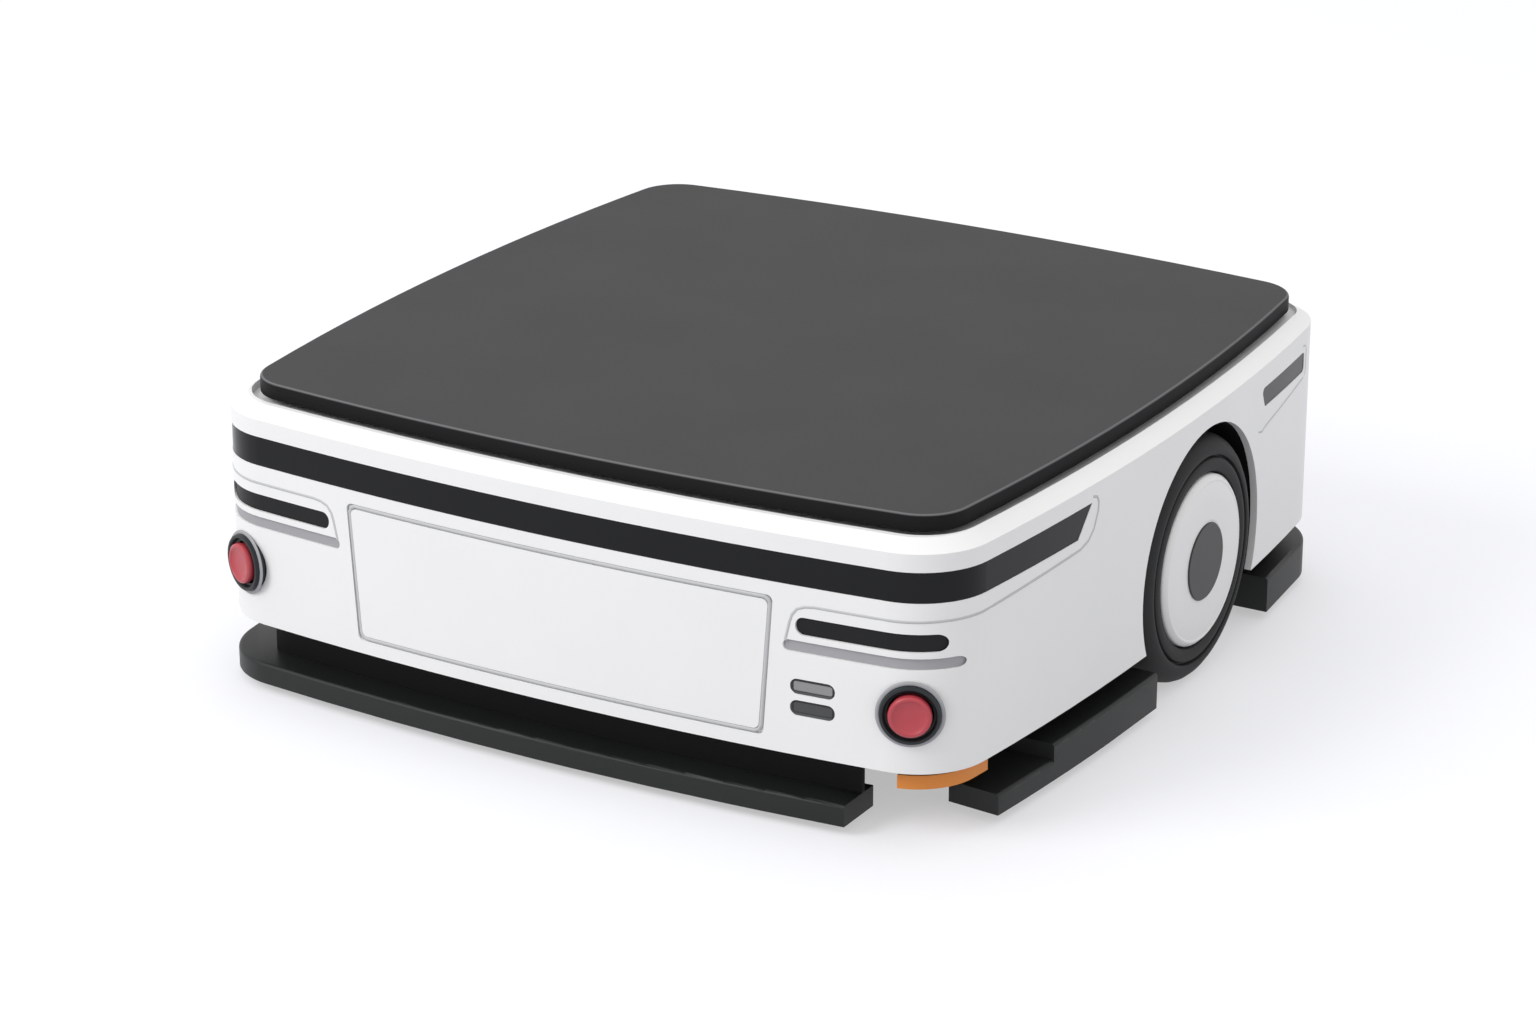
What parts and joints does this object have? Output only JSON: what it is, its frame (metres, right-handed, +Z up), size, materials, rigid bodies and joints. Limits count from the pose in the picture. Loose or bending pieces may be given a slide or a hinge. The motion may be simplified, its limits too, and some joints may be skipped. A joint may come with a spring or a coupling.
{
  "type": "autonomous mobile robot",
  "caption": "Low square transport robot with a lifting dark deck, white cover, drive wheels, swivel casters, corner scanners and contact bumpers.",
  "frame": {"origin": "on the floor under the middle of the machine", "axes": "+Z up, +Y towards the rear and -Y towards the front with the service panel, +X to the right-hand side as seen looking from the front face to the rear"},
  "size_m": [0.7038, 0.708, 0.251],
  "materials": {
    "cover_white": "smooth moulded cover, satin gloss",
    "band_black": "polished dark window band",
    "slot_black": "dark sensor window, set back",
    "ledge_grey": "matt grey moulded strip",
    "port_grey": "matt grey port insert",
    "bumper_rubber": "satin black contact bumper",
    "skirt_black": "matt black moulded skirt",
    "chassis_steel": "black powder-coated steel plate",
    "deck_pan_aluminium": "plain sheet",
    "deck_black": "fine-textured dark coating",
    "lift_steel": "ground steel",
    "motor_dark": "dark enamel",
    "battery_case": "moulded case",
    "stop_red": "glossy moulded push head",
    "stop_dark": "satin dark collar",
    "scanner_orange": "satin orange housing",
    "scanner_black": "dark optics cover",
    "tyre_rubber": "matt black solid tyre",
    "rim_aluminium": "cast and machined",
    "hub_white": "smooth white hubcap",
    "badge_dark": "blank dark disc",
    "caster_zinc": "zinc-plated pressings",
    "caster_tread": "grey-black cushion tread"
  },
  "bodies": {
    "chassis": {"battery_block": "battery_case", "body_cover": "cover_white", "caster_brackets": "chassis_steel", "caster_plates": "caster_zinc", "chassis_plate": "chassis_steel", "deck_pan": "deck_pan_aluminium", "front_band": "band_black", "front_bumper": "bumper_rubber", "front_skirt": "skirt_black", "gearmotor_left": "motor_dark", "gearmotor_right": "motor_dark", "left_bumper": "bumper_rubber", "lift_guides": "lift_steel", "rear_band": "band_black", "rear_bumper": "bumper_rubber", "rear_left_bumper": "bumper_rubber", "rear_right_bumper": "bumper_rubber", "rear_skirt": "skirt_black", "right_bumper": "bumper_rubber", "scanner_bases": "scanner_orange", "scanner_brackets": "chassis_steel", "scanner_heads": "scanner_black", "sensor_slots": "slot_black", "service_panel": "cover_white", "service_ports": "port_grey", "side_skirts": "skirt_black", "side_windows": "band_black", "slot_ledges": "ledge_grey", "stop_buttons": "stop_red", "stop_collars": "stop_dark", "wheel_well_left": "skirt_black", "wheel_well_right": "skirt_black"},
    "lift": {"lift_deck": "deck_black", "lift_posts": "lift_steel"},
    "drive_wheel_right": {"drive_tyre_right": "tyre_rubber", "drive_rim_right": "rim_aluminium", "hubcap_right": "hub_white", "hub_badge_right": "badge_dark"},
    "drive_wheel_left": {"drive_tyre_left": "tyre_rubber", "drive_rim_left": "rim_aluminium", "hubcap_left": "hub_white", "hub_badge_left": "badge_dark"},
    "swivel_front_right": {"caster_fork_front_right": "caster_zinc"},
    "roller_front_right": {"caster_wheel_front_right": "caster_tread"},
    "swivel_front_left": {"caster_fork_front_left": "caster_zinc"},
    "roller_front_left": {"caster_wheel_front_left": "caster_tread"},
    "swivel_rear_right": {"caster_fork_rear_right": "caster_zinc"},
    "roller_rear_right": {"caster_wheel_rear_right": "caster_tread"},
    "swivel_rear_left": {"caster_fork_rear_left": "caster_zinc"},
    "roller_rear_left": {"caster_wheel_rear_left": "caster_tread"}
  },
  "joints": [
    {"name": "deck_lift", "type": "slide", "parent": "chassis", "child": "lift", "axis": [0, 0, 1], "range_m": [0, 0.06]},
    {"name": "drive_right", "type": "hinge", "parent": "chassis", "child": "drive_wheel_right", "pos_m": [0.324, 0.06, 0.102], "axis": [1, 0, 0], "continuous": true},
    {"name": "drive_left", "type": "hinge", "parent": "chassis", "child": "drive_wheel_left", "pos_m": [-0.324, 0.06, 0.102], "axis": [1, 0, 0], "continuous": true},
    {"name": "swivel_front_right", "type": "hinge", "parent": "chassis", "child": "swivel_front_right", "pos_m": [0.172, -0.212, 0.09], "axis": [0, 0, 1], "continuous": true},
    {"name": "roll_front_right", "type": "hinge", "parent": "swivel_front_right", "child": "roller_front_right", "pos_m": [0.172, -0.186, 0.0375], "axis": [1, 0, 0], "continuous": true},
    {"name": "swivel_front_left", "type": "hinge", "parent": "chassis", "child": "swivel_front_left", "pos_m": [-0.172, -0.212, 0.09], "axis": [0, 0, 1], "continuous": true},
    {"name": "roll_front_left", "type": "hinge", "parent": "swivel_front_left", "child": "roller_front_left", "pos_m": [-0.172, -0.186, 0.0375], "axis": [1, 0, 0], "continuous": true},
    {"name": "swivel_rear_right", "type": "hinge", "parent": "chassis", "child": "swivel_rear_right", "pos_m": [0.172, 0.238, 0.09], "axis": [0, 0, 1], "continuous": true},
    {"name": "roll_rear_right", "type": "hinge", "parent": "swivel_rear_right", "child": "roller_rear_right", "pos_m": [0.172, 0.264, 0.0375], "axis": [1, 0, 0], "continuous": true},
    {"name": "swivel_rear_left", "type": "hinge", "parent": "chassis", "child": "swivel_rear_left", "pos_m": [-0.172, 0.238, 0.09], "axis": [0, 0, 1], "continuous": true},
    {"name": "roll_rear_left", "type": "hinge", "parent": "swivel_rear_left", "child": "roller_rear_left", "pos_m": [-0.172, 0.264, 0.0375], "axis": [1, 0, 0], "continuous": true}
  ]
}
